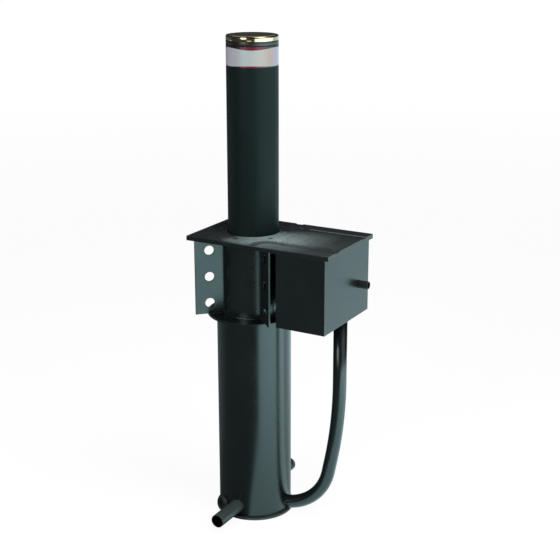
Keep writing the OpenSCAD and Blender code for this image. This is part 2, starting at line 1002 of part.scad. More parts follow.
// A level fitting between two distances along the conduit's direction, with a nipple for the hose
module fitting(from_s, hose_at, z) {
    translate([from_s, 0, z])
        rotate([0, 90, 0])
            cylinder(r = fitting_r, h = hose_at + fitting_past - from_s);
    translate([hose_at, 0, z - nipple_l])
        cylinder(r = hose_r, h = nipple_l);
}

module hose_fittings() {
    color(steel) {
        translate([0, conduit_y, 0])
            fitting(unit_x + block_w / 2, conduit_x, unit_z);
        rotate([0, 0, conduit_turn])
            difference() {
                fitting(0, hose_s, ram_port_z);
                cylinder(r = barrel_r, h = plate_z);
            }
    }
}

base_disc();
casing_tube();
flange_ring();
guide_tube();
fin_front_left();
fin_front_right();
fin_rear_right();
fin_rear_left();
top_plate();
access_cover();
cover_ledge();
cover_screws();
collar_ring();
collar_screws();
wiper_seal();
upper_guide();
seat_ring();
guide_rail();
buffer_posts();
buffer_pads();
side_box();
cable_entry();
conduit();
front_drain();
rear_drain();
outlet_boss();
outlet_plug();
post_tube();
head_cap();
head_ring();
reflective_band();
lower_guide();
rod_bridge();
rod_nut();
ram_rod();
ram_piston();
ram_barrel();
ram_gland();
ram_foot();
foot_pin();
unit_bracket();
valve_block();
pump_motor();
gear_pump();
oil_tank();
filler_cap();
solenoid_valve();
release_lever();
terminal_box();
motor_lead();
solenoid_lead();
hydraulic_hose();
hose_fittings();
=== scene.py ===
# %% [markdown]
# # A retractable bollard
# The bollard is a painted steel post that rises out of a casing buried in the road. Its solids are
# already drawn, so this lesson loads them as a fixed frame and dresses them: rounded edges, welds,
# tread ribs, a turned cap and a finish for every surface. All lengths are in metres, and the frame
# says where each piece belongs, so nothing has to be fitted by eye.

# %% Load the frame
import json
from math import atan2, ceil, cos, degrees, hypot, pi, radians, sin, sqrt, tan

import bmesh
import bpy
from mathutils import Matrix, Vector

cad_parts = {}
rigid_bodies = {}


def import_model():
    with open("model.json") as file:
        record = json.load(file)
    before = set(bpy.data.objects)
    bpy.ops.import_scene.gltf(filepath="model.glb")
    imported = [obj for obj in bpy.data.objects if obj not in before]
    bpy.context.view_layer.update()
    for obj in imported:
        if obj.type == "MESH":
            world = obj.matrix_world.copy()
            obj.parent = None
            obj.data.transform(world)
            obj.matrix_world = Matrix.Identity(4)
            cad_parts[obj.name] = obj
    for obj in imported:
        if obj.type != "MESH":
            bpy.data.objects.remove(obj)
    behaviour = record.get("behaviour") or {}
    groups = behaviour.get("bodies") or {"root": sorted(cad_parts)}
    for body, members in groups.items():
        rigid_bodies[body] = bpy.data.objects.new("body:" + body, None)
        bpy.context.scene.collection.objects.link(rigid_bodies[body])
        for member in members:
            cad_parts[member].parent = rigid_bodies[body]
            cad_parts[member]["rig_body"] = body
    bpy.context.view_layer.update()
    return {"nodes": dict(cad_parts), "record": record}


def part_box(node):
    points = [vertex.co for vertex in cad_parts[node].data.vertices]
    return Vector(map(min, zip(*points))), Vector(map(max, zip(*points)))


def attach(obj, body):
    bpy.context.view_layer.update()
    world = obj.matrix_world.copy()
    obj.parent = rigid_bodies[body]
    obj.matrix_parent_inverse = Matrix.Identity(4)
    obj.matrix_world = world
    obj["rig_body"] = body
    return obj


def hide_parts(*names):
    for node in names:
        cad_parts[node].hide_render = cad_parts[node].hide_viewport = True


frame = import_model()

mm = 0.001
scene = bpy.context.scene
scene.view_settings.view_transform = "Standard"
nodes = frame["nodes"]
slot_of = {row["node"]: row["material_slot"] for row in frame["record"]["subparts"]}

# %% [markdown]
# ## The camera
# The photograph looks down at the bollard from its front right corner, from about five metres away.
# A long lens at that distance keeps the uprights almost parallel. The place and the angles below
# were found by matching the corners of the plate, the box and the post to their places in the picture.

# %% Camera
camera_data = bpy.data.cameras.new("photo_camera")
camera_data.lens = 75.78
camera_data.sensor_width = 36
camera_data.shift_x = -0.0031
camera_data.shift_y = -0.0002
camera = bpy.data.objects.new("photo_camera", camera_data)
camera.location = (2.4172, -4.0540, 2.4891)
camera.rotation_euler = (radians(72.85), 0, radians(29.39))
scene.collection.objects.link(camera)
scene.camera = camera
print("camera distance:", round(camera.location.length, 2))

# %% [markdown]
# ## Building node trees
# Every finish here is a small tree of nodes. Typing each node out in full would hide the idea behind
# it, so two helpers are enough: one adds a node with its options and plain values, and one makes a
# node group with named sockets, for an effect that several finishes share.

# %% Node helpers
def put(tree, kind, values=None, **options):
    """Adds a node, sets its options, then the plain values of its sockets by name or number."""
    node = tree.nodes.new(kind)
    for option, choice in options.items():
        setattr(node, option, choice)
    for socket, value in (values or {}).items():
        node.inputs[socket].default_value = value
    return node


def new_group(name, inputs, outputs):
    """Makes a shader node group, and returns its tree with its two end nodes."""
    tree = bpy.data.node_groups.new(name, "ShaderNodeTree")
    for label, value in inputs.items():
        kind = "NodeSocketColor" if isinstance(value, tuple) else "NodeSocketFloat"
        tree.interface.new_socket(label, in_out="INPUT", socket_type=kind).default_value = value
    for label, kind in outputs.items():
        tree.interface.new_socket(label, in_out="OUTPUT", socket_type="NodeSocket" + kind)
    return tree, put(tree, "NodeGroupInput"), put(tree, "NodeGroupOutput")


def new_finish(name, **values):
    """Makes a material with one Principled shader, whose plain values are set on its own sockets."""
    material = bpy.data.materials.new(name)
    material.use_nodes = True
    shader = material.node_tree.nodes["Principled BSDF"]
    for label, value in values.items():
        shader.inputs[label.replace("_", " ")].default_value = value
    return material.node_tree, shader, material


finish = {}
print("node helpers ready")

# %% [markdown]
# ## Floor and light
# The photograph has a white background. A bright panel stands to the right of the camera, and the side
# to its left is dark, which is why the casing shows one broad light band with a sharp edge. The floor
# is one very wide disc, so it fills the whole picture. To the camera it is white, and it keeps the
# bollard's shadow because part of its light is ordinary reflected light. What glossy surfaces see of
# it changes with the direction from the post: bright on the right, dark on the front left. Close to the
# base it is dimmer, as if the bollard shaded it, and the bright part reaches further to the left. Soft
# panels do the rest: a key panel above lights the tread, one behind draws light lines on its slopes, one
# in front fills, and two small low ones give the cap's rim its warm glints.

# %% Floor
floor_reach = 80
floor_gap = 0.5 * mm
bm = bmesh.new()
bmesh.ops.create_circle(bm, cap_ends=True, segments=96, radius=floor_reach,
                        matrix=Matrix.Translation((0, 0, -floor_gap)))
floor_mesh = bpy.data.meshes.new("floor")
bm.to_mesh(floor_mesh)
bm.free()
floor = bpy.data.objects.new("floor", floor_mesh)
scene.collection.objects.link(floor)
print("floor reach:", floor_reach)

# %% Floor finish
near_white = 0.92
far_white = 1.0
card_strength = 3.5
card_soft = 3
cards = ((-163, 0.05), (-47, 0.02), (41, 1.0), (121, 0.36), (180, 0.05))
white_reach = (1, 14)
dim_near = 0.42
dim_reach = (0.2, 2.05)
lean_near = 25
lean_reach = (0.35, 1.1)
lean_turns = (radians(-45), radians(10))
floor_paint = bpy.data.materials.new("floor_paint")
floor_paint.use_nodes = True
tree = floor_paint.node_tree
tree.nodes.remove(tree.nodes["Principled BSDF"])
light_path = put(tree, "ShaderNodeLightPath")
place = put(tree, "ShaderNodeTexCoord")
split = put(tree, "ShaderNodeSeparateXYZ")
angle = put(tree, "ShaderNodeMath", operation="ARCTAN2")
share = put(tree, "ShaderNodeMapRange", {"From Min": -pi, "From Max": pi})
lean = put(tree, "ShaderNodeMapRange", {"From Min": lean_reach[0], "From Max": lean_reach[1],
                                        "To Min": lean_near / 360, "To Max": 0})
front_left = put(tree, "ShaderNodeMapRange", {"From Min": lean_turns[0], "From Max": lean_turns[1],
                                              "To Min": 1, "To Max": 0})
leaning = put(tree, "ShaderNodeMath", operation="MULTIPLY")
leant = put(tree, "ShaderNodeMath", operation="ADD")
ramp = put(tree, "ShaderNodeValToRGB")
stops = ramp.color_ramp.elements
stops[0].color = (cards[0][1],) * 3 + (1,)
stops[1].color = (cards[-1][1],) * 3 + (1,)
for (turn, level), (_, next_level) in zip(cards[:-1], cards[1:]):
    for side, tone in ((-1, level), (1, next_level)):
        stop = stops.new((turn + side * card_soft / 2 + 180) / 360)
        stop.color = (tone, tone, tone, 1)
mirrored = put(tree, "ShaderNodeMath", operation="ADD", use_clamp=True)
card = put(tree, "ShaderNodeMath", operation="MULTIPLY")
shine = put(tree, "ShaderNodeMath", {1: card_strength}, operation="MULTIPLY")
away = put(tree, "ShaderNodeVectorMath", operation="LENGTH")
white = put(tree, "ShaderNodeMapRange", {"From Min": white_reach[0], "From Max": white_reach[1],
                                         "To Min": near_white, "To Max": far_white})
dim = put(tree, "ShaderNodeMapRange", {"From Min": dim_reach[0], "From Max": dim_reach[1],
                                       "To Min": dim_near})
dimmed = put(tree, "ShaderNodeMath", operation="MULTIPLY")
strength = put(tree, "ShaderNodeMath", operation="MULTIPLY_ADD")
tint = put(tree, "ShaderNodeMix", {"A": (1, 1, 1, 1), "B": (0.74, 1.0, 1.04, 1)}, data_type="RGBA")
glow = put(tree, "ShaderNodeEmission")
matt = put(tree, "ShaderNodeBsdfDiffuse", {"Color": (0.2, 0.2, 0.2, 1)})
both = put(tree, "ShaderNodeAddShader")
link = tree.links.new
link(place.outputs["Object"], split.inputs["Vector"])
link(split.outputs["Y"], angle.inputs[0])
link(split.outputs["X"], angle.inputs[1])
link(angle.outputs["Value"], share.inputs["Value"])
link(away.outputs["Value"], lean.inputs["Value"])
link(angle.outputs["Value"], front_left.inputs["Value"])
link(lean.outputs["Result"], leaning.inputs[0])
link(front_left.outputs["Result"], leaning.inputs[1])
link(share.outputs["Result"], leant.inputs[0])
link(leaning.outputs["Value"], leant.inputs[1])
link(leant.outputs["Value"], ramp.inputs["Fac"])
link(light_path.outputs["Is Glossy Ray"], mirrored.inputs[0])
link(light_path.outputs["Is Transmission Ray"], mirrored.inputs[1])
link(mirrored.outputs["Value"], card.inputs[0])
link(ramp.outputs["Color"], card.inputs[1])
link(card.outputs["Value"], shine.inputs[0])
link(place.outputs["Object"], away.inputs[0])
link(away.outputs["Value"], white.inputs["Value"])
link(light_path.outputs["Is Camera Ray"], strength.inputs[0])
link(white.outputs["Result"], strength.inputs[1])
link(mirrored.outputs["Value"], tint.inputs["Factor"])
link(tint.outputs["Result"], glow.inputs["Color"])
link(away.outputs["Value"], dim.inputs["Value"])
link(shine.outputs["Value"], dimmed.inputs[0])
link(dim.outputs["Result"], dimmed.inputs[1])
link(dimmed.outputs["Value"], strength.inputs[2])
link(strength.outputs["Value"], glow.inputs["Strength"])
link(glow.outputs["Emission"], both.inputs[0])
link(matt.outputs["BSDF"], both.inputs[1])
link(both.outputs["Shader"], tree.nodes["Material Output"].inputs["Surface"])
floor_mesh.materials.append(floor_paint)
print("cards on the floor:", len(cards))

# %% Lamps and world
def soft_panel(name, place, aim, wide, high, watts, colour=(1, 1, 1)):
    """Hangs a rectangular lamp, out of the camera's sight, and turns it to face a point."""
    lamp = bpy.data.lights.new(name, "AREA")
    lamp.shape = "RECTANGLE"
    lamp.size = wide
    lamp.size_y = high
    lamp.energy = watts
    lamp.color = colour
    panel = bpy.data.objects.new(name, lamp)
    panel.location = place
    panel.visible_camera = False
    panel.rotation_euler = (Vector(aim) - Vector(place)).to_track_quat("-Z", "Y").to_euler()
    scene.collection.objects.link(panel)
    return panel


soft_panel("right_panel", (3.1, -0.3, 1.7), (0.1, 0, 1.0), 2.4, 3.2, 25)
soft_panel("back_panel", (-1.07, 1.85, 3.77), (0.1, -0.1, 1.25), 1.5, 1.5, 10)
soft_panel("front_fill", (-0.6, -4.6, 2.6), (0, 0, 1.2), 2.0, 2.0, 75)
soft_panel("key_panel", (1.45, -0.22, 4.15), (0.1, -0.1, 1.25), 1.6, 1.6, 42)
soft_panel("left_glint", (-2.96, -0.47, 1.1), (0, 0, 2.03), 0.9, 0.4, 2.6, (1.0, 0.93, 0.80))
soft_panel("front_glint", (0.88, -2.87, 1.1), (0, 0, 2.03), 0.9, 0.4, 2.0, (1.0, 0.72, 0.45))

air_light = 0.05
world = bpy.data.worlds.new("studio_air")
world.use_nodes = True
air = world.node_tree
background = air.nodes["Background"]
background.inputs["Color"].default_value = (0.9, 0.95, 1.0, 1)
sight = put(air, "ShaderNodeLightPath")
glow = put(air, "ShaderNodeMapRange", {"To Min": air_light, "To Max": far_white})
air.links.new(sight.outputs["Is Camera Ray"], glow.inputs["Value"])
air.links.new(glow.outputs["Result"], background.inputs["Strength"])
scene.world = world
print("lamps:", [lamp.name for lamp in bpy.data.lights])

# %% [markdown]
# ## Effects that several finishes share
# Sprayed paint is never one even colour. It has faint patches, a fine peel like the skin of an orange,
# and it thins and scuffs along the edges. Each of these is a node group here, so that the casing, the
# post and the lever can use it with values of their own. They all read Object coordinates, in metres.

# %% Paint skin
tree, entry, leave = new_group(
    "paint_skin",
    {"Light": (0.06, 0.07, 0.07, 1), "Dark": (0.04, 0.05, 0.05, 1), "Patches": 5.0,
     "Smooth": 0.4, "Rough": 0.5, "Peel": 700.0},
    {"Color": "Color", "Roughness": "Float", "Height": "Float"})
place = put(tree, "ShaderNodeTexCoord")
patches = put(tree, "ShaderNodeTexNoise", {"Detail": 5.0, "Roughness": 0.6})
spread = put(tree, "ShaderNodeMapRange", {"From Min": 0.35, "From Max": 0.65})
colour = put(tree, "ShaderNodeMix", data_type="RGBA")
gloss = put(tree, "ShaderNodeMapRange", {"From Min": 0.3, "From Max": 0.7})
peel = put(tree, "ShaderNodeTexNoise", {"Detail": 2.0, "Roughness": 0.5})
link = tree.links.new
link(place.outputs["Object"], patches.inputs["Vector"])
link(place.outputs["Object"], peel.inputs["Vector"])
link(entry.outputs["Patches"], patches.inputs["Scale"])
link(entry.outputs["Peel"], peel.inputs["Scale"])
link(patches.outputs["Fac"], spread.inputs["Value"])
link(patches.outputs["Fac"], gloss.inputs["Value"])
link(spread.outputs["Result"], colour.inputs["Factor"])
link(entry.outputs["Dark"], colour.inputs["A"])
link(entry.outputs["Light"], colour.inputs["B"])
link(entry.outputs["Smooth"], gloss.inputs["To Min"])
link(entry.outputs["Rough"], gloss.inputs["To Max"])
link(colour.outputs["Result"], leave.inputs["Color"])
link(gloss.outputs["Result"], leave.inputs["Roughness"])
link(peel.outputs["Fac"], leave.inputs["Height"])
paint_skin = tree
print("group:", paint_skin.name)

# %% Edge wear
tree, entry, leave = new_group(
    "edge_wear", {"Color": (0.05, 0.06, 0.06, 1), "Bare": (0.2, 0.22, 0.22, 1), "Amount": 0.7},
    {"Color": "Color"})
place = put(tree, "ShaderNodeTexCoord")
edge = put(tree, "ShaderNodeAttribute", attribute_name="edge")
scuffs = put(tree, "ShaderNodeTexNoise", {"Scale": 45.0, "Detail": 6.0, "Roughness": 0.65})
broken = put(tree, "ShaderNodeMapRange", {"From Min": 0.35, "From Max": 0.62})
worn = put(tree, "ShaderNodeMath", operation="MULTIPLY")
scaled = put(tree, "ShaderNodeMath", operation="MULTIPLY", use_clamp=True)
colour = put(tree, "ShaderNodeMix", data_type="RGBA")
link = tree.links.new
link(place.outputs["Object"], scuffs.inputs["Vector"])
link(scuffs.outputs["Fac"], broken.inputs["Value"])
link(edge.outputs["Fac"], worn.inputs[0])
link(broken.outputs["Result"], worn.inputs[1])
link(worn.outputs["Value"], scaled.inputs[0])
link(entry.outputs["Amount"], scaled.inputs[1])
link(scaled.outputs["Value"], colour.inputs["Factor"])
link(entry.outputs["Color"], colour.inputs["A"])
link(entry.outputs["Bare"], colour.inputs["B"])
link(colour.outputs["Result"], leave.inputs["Color"])
edge_wear = tree
print("group:", edge_wear.name)

# %% Turned metal
tree, entry, leave = new_group(
    "turned_metal", {"Pitch": 900.0, "Smooth": 0.1, "Rough": 0.22}, {"Roughness": "Float", "Height": "Float"})
place = put(tree, "ShaderNodeTexCoord")
split = put(tree, "ShaderNodeSeparateXYZ")
flat = put(tree, "ShaderNodeCombineXYZ")
radius = put(tree, "ShaderNodeVectorMath", operation="LENGTH")
across = put(tree, "ShaderNodeMath", operation="ADD")
rings = put(tree, "ShaderNodeTexNoise", {"Detail": 3.0, "Roughness": 0.7}, noise_dimensions="1D")
gloss = put(tree, "ShaderNodeMapRange", {"From Min": 0.3, "From Max": 0.7})
link = tree.links.new
link(place.outputs["Object"], split.inputs["Vector"])
link(split.outputs["X"], flat.inputs["X"])
link(split.outputs["Y"], flat.inputs["Y"])
link(flat.outputs["Vector"], radius.inputs[0])
link(radius.outputs["Value"], across.inputs[0])
link(split.outputs["Z"], across.inputs[1])
link(across.outputs["Value"], rings.inputs["W"])
link(entry.outputs["Pitch"], rings.inputs["Scale"])
link(rings.outputs["Fac"], gloss.inputs["Value"])
link(entry.outputs["Smooth"], gloss.inputs["To Min"])
link(entry.outputs["Rough"], gloss.inputs["To Max"])
link(gloss.outputs["Result"], leave.inputs["Roughness"])
link(rings.outputs["Fac"], leave.inputs["Height"])
turned_metal = tree
print("group:", turned_metal.name)

# %% [markdown]
# ## Paints and plastics
# Most of the bollard is sprayed: a satin grey-green on the buried parts and a flatter green-black on
# the post. The small inner parts are black, cast, moulded or red. They differ only in colour, gloss
# and grain, so one function lays the paint skin and the edge wear, and each finish gives its values.

# %% Painted and moulded finishes
def painted(slot, dark, light, bare, smooth, rough, patches=5.0, peel=700.0, depth=0.15, wear=0.7, **values):
    """A sprayed or moulded finish: patches of two close colours, a fine peel and scuffed edges."""
    tree, shader, material = new_finish(slot, **values)
    skin = put(tree, "ShaderNodeGroup", node_tree=paint_skin)
    skin.inputs["Light"].default_value = (*light, 1)
    skin.inputs["Dark"].default_value = (*dark, 1)
    skin.inputs["Patches"].default_value = patches
    skin.inputs["Smooth"].default_value = smooth
    skin.inputs["Rough"].default_value = rough
    skin.inputs["Peel"].default_value = peel
    worn = put(tree, "ShaderNodeGroup", node_tree=edge_wear)
    worn.inputs["Bare"].default_value = (*bare, 1)
    worn.inputs["Amount"].default_value = wear
    bump = put(tree, "ShaderNodeBump", {"Strength": depth, "Distance": 0.1 * mm})
    tree.links.new(skin.outputs["Color"], worn.inputs["Color"])
    tree.links.new(worn.outputs["Color"], shader.inputs["Base Color"])
    tree.links.new(skin.outputs["Roughness"], shader.inputs["Roughness"])
    tree.links.new(skin.outputs["Height"], bump.inputs["Height"])
    tree.links.new(bump.outputs["Normal"], shader.inputs["Normal"])
    finish[slot] = material


painted("satin_paint", (0.008, 0.0125, 0.0125), (0.0115, 0.017, 0.017), (0.08, 0.11, 0.11), 0.22, 0.30,
        Specular_Tint=(0.85, 1.0, 1.0, 1))
painted("post_paint", (0.007, 0.0165, 0.0165), (0.0095, 0.021, 0.0205), (0.04, 0.06, 0.06), 0.46, 0.58,
        Specular_IOR_Level=0.12)
painted("dusty_paint", (0.066, 0.088, 0.088), (0.090, 0.115, 0.115), (0.12, 0.16, 0.16), 0.34, 0.44,
        Specular_Tint=(0.85, 1.0, 1.0, 1))
painted("dark_ring", (0.012, 0.010, 0.012), (0.020, 0.016, 0.018), (0.06, 0.06, 0.06), 0.30, 0.40)
painted("dark_steel", (0.020, 0.020, 0.022), (0.035, 0.035, 0.038), (0.22, 0.22, 0.22), 0.34, 0.50)
painted("dark_plastic", (0.010, 0.012, 0.013), (0.014, 0.016, 0.017), (0.06, 0.06, 0.06), 0.50, 0.62,
        peel=1500)
painted("seal_rubber", (0.012, 0.012, 0.012), (0.022, 0.022, 0.021), (0.04, 0.04, 0.04), 0.70, 0.85,
        peel=2000)
painted("guide_polymer", (0.66, 0.63, 0.54), (0.74, 0.72, 0.64), (0.8, 0.8, 0.75), 0.45, 0.55, peel=1200)
painted("lever_paint", (0.40, 0.022, 0.015), (0.47, 0.032, 0.022), (0.5, 0.45, 0.42), 0.28, 0.36)
painted("cast_alloy", (0.47, 0.48, 0.49), (0.58, 0.59, 0.60), (0.7, 0.7, 0.7), 0.40, 0.55,
        peel=900, depth=0.3, Metallic=0.9)
print("painted finishes:", sorted(finish))

# %% [markdown]
# ## Pipe mouths
# The low pieces carry a dusty coat, but the picture shows the mouth of the drain pipe black. The
# distance from the pipes' axis tells the inside from the outside, so the finish can darken there.

# %% Dark inside of the drains
drain_low, drain_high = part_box("front_drain")
drain_z = (drain_low.z + drain_high.z) / 2
drain_wall = 3.5 * mm
drain_bore_r = drain_high.x - drain_wall
mouth_edge = (drain_bore_r + 0.2 * mm, drain_bore_r + 0.8 * mm)
tree = finish["dusty_paint"].node_tree
shader = tree.nodes["Principled BSDF"]
dusty = shader.inputs["Base Color"].links[0].from_socket
link = tree.links.new
place = put(tree, "ShaderNodeTexCoord")
offset = put(tree, "ShaderNodeVectorMath", {1: (0, 0, drain_z)}, operation="SUBTRACT")
across = put(tree, "ShaderNodeVectorMath", {1: (1, 0, 1)}, operation="MULTIPLY")
from_axis = put(tree, "ShaderNodeVectorMath", operation="LENGTH")
outside = put(tree, "ShaderNodeMapRange", {"From Min": mouth_edge[0], "From Max": mouth_edge[1]})
# Painted shade: inside the bore of the drain pipes the colour is darkened to near black.
colour = put(tree, "ShaderNodeMix", {"A": (0.003, 0.004, 0.004, 1)}, data_type="RGBA")
link(place.outputs["Object"], offset.inputs[0])
link(offset.outputs["Vector"], across.inputs[0])
link(across.outputs["Vector"], from_axis.inputs[0])
link(from_axis.outputs["Value"], outside.inputs["Value"])
link(outside.outputs["Result"], colour.inputs["Factor"])
link(dusty, colour.inputs["B"])
link(colour.outputs["Result"], shader.inputs["Base Color"])
print("drain bore radius in mm:", round(drain_bore_r / mm, 1))

# %% [markdown]
# ## Tread with a painted highlight
# The picture shows a pale patch on the tread beside the post, in front and towards the cover. It is made
# here as a painted highlight, a light grey mixed into the paint. The painted share falls with the turn
# from that side and with the distance from the post. It also grows with the height, from little in the
# sunk margins to the most on top of the ribs, and noise breaks it up.

# %% Tread finish with a painted highlight
plate_low, plate_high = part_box("top_plate")
# Painted highlight: the turn, reach and height at which the tread's paint is mixed towards a light grey.
sheen_turn = radians(-38)
sheen_side = (cos(sheen_turn), sin(sheen_turn), 0)
sheen_reach = (200 * mm, 380 * mm)
sheen_far = 0.15
sheen_behind = 0.03
sheen_level = (plate_high.z - 5 * mm, plate_high.z + 2 * mm)
painted("tread", (0.009, 0.0135, 0.0135), (0.013, 0.018, 0.018), (0.10, 0.13, 0.13), 0.24, 0.32)
tree = finish["tread"].node_tree
shader = tree.nodes["Principled BSDF"]
fresh = shader.inputs["Base Color"].links[0].from_socket
link = tree.links.new
place = put(tree, "ShaderNodeTexCoord")
flat = put(tree, "ShaderNodeVectorMath", {1: (1, 1, 0)}, operation="MULTIPLY")
away = put(tree, "ShaderNodeVectorMath", operation="LENGTH")
near = put(tree, "ShaderNodeMapRange", {"From Min": sheen_reach[0], "From Max": sheen_reach[1],
                                        "To Min": 1, "To Max": sheen_far})
heading = put(tree, "ShaderNodeVectorMath", operation="NORMALIZE")
turned = put(tree, "ShaderNodeVectorMath", {1: sheen_side}, operation="DOT_PRODUCT")
facing = put(tree, "ShaderNodeMapRange", {"From Min": 0.4, "From Max": 1.0, "To Min": sheen_behind})
sided = put(tree, "ShaderNodeMath", operation="MULTIPLY")
split = put(tree, "ShaderNodeSeparateXYZ")
high = put(tree, "ShaderNodeMapRange", {"From Min": sheen_level[0], "From Max": sheen_level[1]})
sheen_breakup = put(tree, "ShaderNodeTexNoise", {"Scale": 30.0, "Detail": 5.0})
broken = put(tree, "ShaderNodeMapRange", {"From Min": 0.3, "From Max": 0.7, "To Min": 0.7})
patchy = put(tree, "ShaderNodeMath", operation="MULTIPLY")
sheen_share = put(tree, "ShaderNodeMath", operation="MULTIPLY")
# Painted highlight: the light grey of the patch beside the post.
colour = put(tree, "ShaderNodeMix", {"B": (0.45, 0.58, 0.58, 1)}, data_type="RGBA")
link(place.outputs["Object"], flat.inputs[0])
link(flat.outputs["Vector"], away.inputs[0])
link(away.outputs["Value"], near.inputs["Value"])
link(flat.outputs["Vector"], heading.inputs[0])
link(heading.outputs["Vector"], turned.inputs[0])
link(turned.outputs["Value"], facing.inputs["Value"])
link(near.outputs["Result"], sided.inputs[0])
link(facing.outputs["Result"], sided.inputs[1])
link(place.outputs["Object"], split.inputs["Vector"])
link(split.outputs["Z"], high.inputs["Value"])
link(place.outputs["Object"], sheen_breakup.inputs["Vector"])
link(sheen_breakup.outputs["Fac"], broken.inputs["Value"])
link(sided.outputs["Value"], patchy.inputs[0])
link(broken.outputs["Result"], patchy.inputs[1])
link(patchy.outputs["Value"], sheen_share.inputs[0])
link(high.outputs["Result"], sheen_share.inputs[1])
link(sheen_share.outputs["Value"], colour.inputs["Factor"])
link(fresh, colour.inputs["A"])
link(colour.outputs["Result"], shader.inputs["Base Color"])
print("tread with painted sheen:", finish["tread"].name)

# %% [markdown]
# ## Bare steel
# The cap and the ram's rod are polished on a lathe, which leaves hair-fine rings that stretch the
# reflections. The polish has a warm, brownish tone. The turned metal group follows the distance from
# the post's axis plus the height, so the lines run round the cap's top and round its rim alike. Plain
# machined steel is rougher.

# %% Steel finishes
def bare_steel(slot, colour, smooth, rough, pitch, depth):
    """Lathe-turned metal, whose gloss changes from ring to ring."""
    tree, shader, material = new_finish(slot, Base_Color=(*colour, 1), Metallic=1.0)
    rings = put(tree, "ShaderNodeGroup", node_tree=turned_metal)
    rings.inputs["Pitch"].default_value = pitch
    rings.inputs["Smooth"].default_value = smooth
    rings.inputs["Rough"].default_value = rough
    bump = put(tree, "ShaderNodeBump", {"Strength": depth, "Distance": 0.02 * mm})
    tree.links.new(rings.outputs["Roughness"], shader.inputs["Roughness"])
    tree.links.new(rings.outputs["Height"], bump.inputs["Height"])
    tree.links.new(bump.outputs["Normal"], shader.inputs["Normal"])
    finish[slot] = material


bare_steel("polished_steel", (0.44, 0.38, 0.23), 0.08, 0.18, 1400, 0.15)
bare_steel("plain_steel", (0.52, 0.53, 0.54), 0.24, 0.40, 700, 0.3)
print("steel finishes:", [name for name in finish if name.endswith("steel")])

# %% [markdown]
# ## The reflective film
# A pale film is wrapped round the post under its head. Its printed edges wave gently, three waves to a
# turn, and the dips are dark red. Height and angle round the post come from Object coordinates, so a
# little arithmetic draws the wave, and a fine cell pattern gives the beads. Beads send extra light back
# to whoever looks at them. That light is painted here: pastel tints that change with the angle round the post
# are put into the colour, and the film has a faint glow of its own colour, a painted reflection.

# %% Reflective film
film_low, film_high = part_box("reflective_band")
facing = radians(-60.6)
waves = 3
upper_mean = film_high.z - 9 * mm
upper_wave = 4 * mm
lower_mean = film_low.z + 5 * mm
lower_wave = 2 * mm
# Painted reflection: the Emission Strength gives the film a faint glow of its own colour.
tree, shader, film = new_finish("reflective_film", Specular_IOR_Level=0.4, Emission_Strength=0.10)
link = tree.links.new
place = put(tree, "ShaderNodeTexCoord")
split = put(tree, "ShaderNodeSeparateXYZ")
angle = put(tree, "ShaderNodeMath", operation="ARCTAN2")
turned = put(tree, "ShaderNodeMath", {1: -facing}, operation="ADD")
phase = put(tree, "ShaderNodeMath", {1: waves}, operation="MULTIPLY")
swing = put(tree, "ShaderNodeMath", operation="COSINE")
upper = put(tree, "ShaderNodeMath", {1: -upper_wave, 2: upper_mean}, operation="MULTIPLY_ADD")
lower = put(tree, "ShaderNodeMath", {1: lower_wave, 2: lower_mean}, operation="MULTIPLY_ADD")
below = put(tree, "ShaderNodeMath", operation="SUBTRACT")
above = put(tree, "ShaderNodeMath", operation="SUBTRACT")
inside = put(tree, "ShaderNodeMath", operation="MINIMUM")
printed = put(tree, "ShaderNodeMapRange", {"From Min": -0.4 * mm, "From Max": 0.4 * mm})
red_share = put(tree, "ShaderNodeMapRange", {"From Min": -0.5, "From Max": 0.8})
red = put(tree, "ShaderNodeMix", {"A": (0.012, 0.012, 0.014, 1), "B": (0.20, 0.015, 0.03, 1)},
          data_type="RGBA")
beads = put(tree, "ShaderNodeTexVoronoi", {"Scale": 420.0})
bead_tone = put(tree, "ShaderNodeMapRange", {"From Max": 0.7})
share = put(tree, "ShaderNodeMath", {1: 1 / (2 * pi)}, operation="MULTIPLY")
part = put(tree, "ShaderNodeMath", operation="FRACT")
# Painted reflection: pastel tints that change with the angle round the post.
tints = put(tree, "ShaderNodeValToRGB")
tint_stops = tints.color_ramp.elements
tint_stops[0].color = tint_stops[1].color = (0.68, 0.79, 0.78, 1)
for at, tint in ((0.34, (0.66, 0.56, 0.49)), (0.50, (0.72, 0.68, 0.86)), (0.88, (0.66, 0.80, 0.80))):
    tint_stops.new(at).color = (*tint, 1)
dull = put(tree, "ShaderNodeMix", {"Factor": 0.25, "B": (0.3, 0.3, 0.3, 1)}, data_type="RGBA")
pale = put(tree, "ShaderNodeMix", data_type="RGBA")
colour = put(tree, "ShaderNodeMix", data_type="RGBA")
gloss = put(tree, "ShaderNodeMapRange", {"From Max": 0.7, "To Min": 0.22, "To Max": 0.36})
bump = put(tree, "ShaderNodeBump", {"Strength": 0.2, "Distance": 0.05 * mm})
link(place.outputs["Object"], split.inputs["Vector"])
link(place.outputs["Object"], beads.inputs["Vector"])
link(split.outputs["Y"], angle.inputs[0])
link(split.outputs["X"], angle.inputs[1])
link(angle.outputs["Value"], turned.inputs[0])
link(turned.outputs["Value"], phase.inputs[0])
link(phase.outputs["Value"], swing.inputs[0])
link(swing.outputs["Value"], upper.inputs[0])
link(swing.outputs["Value"], lower.inputs[0])
link(upper.outputs["Value"], below.inputs[0])
link(split.outputs["Z"], below.inputs[1])
link(split.outputs["Z"], above.inputs[0])
link(lower.outputs["Value"], above.inputs[1])
link(below.outputs["Value"], inside.inputs[0])
link(above.outputs["Value"], inside.inputs[1])
link(inside.outputs["Value"], printed.inputs["Value"])
link(swing.outputs["Value"], red_share.inputs["Value"])
link(red_share.outputs["Result"], red.inputs["Factor"])
link(phase.outputs["Value"], share.inputs[0])
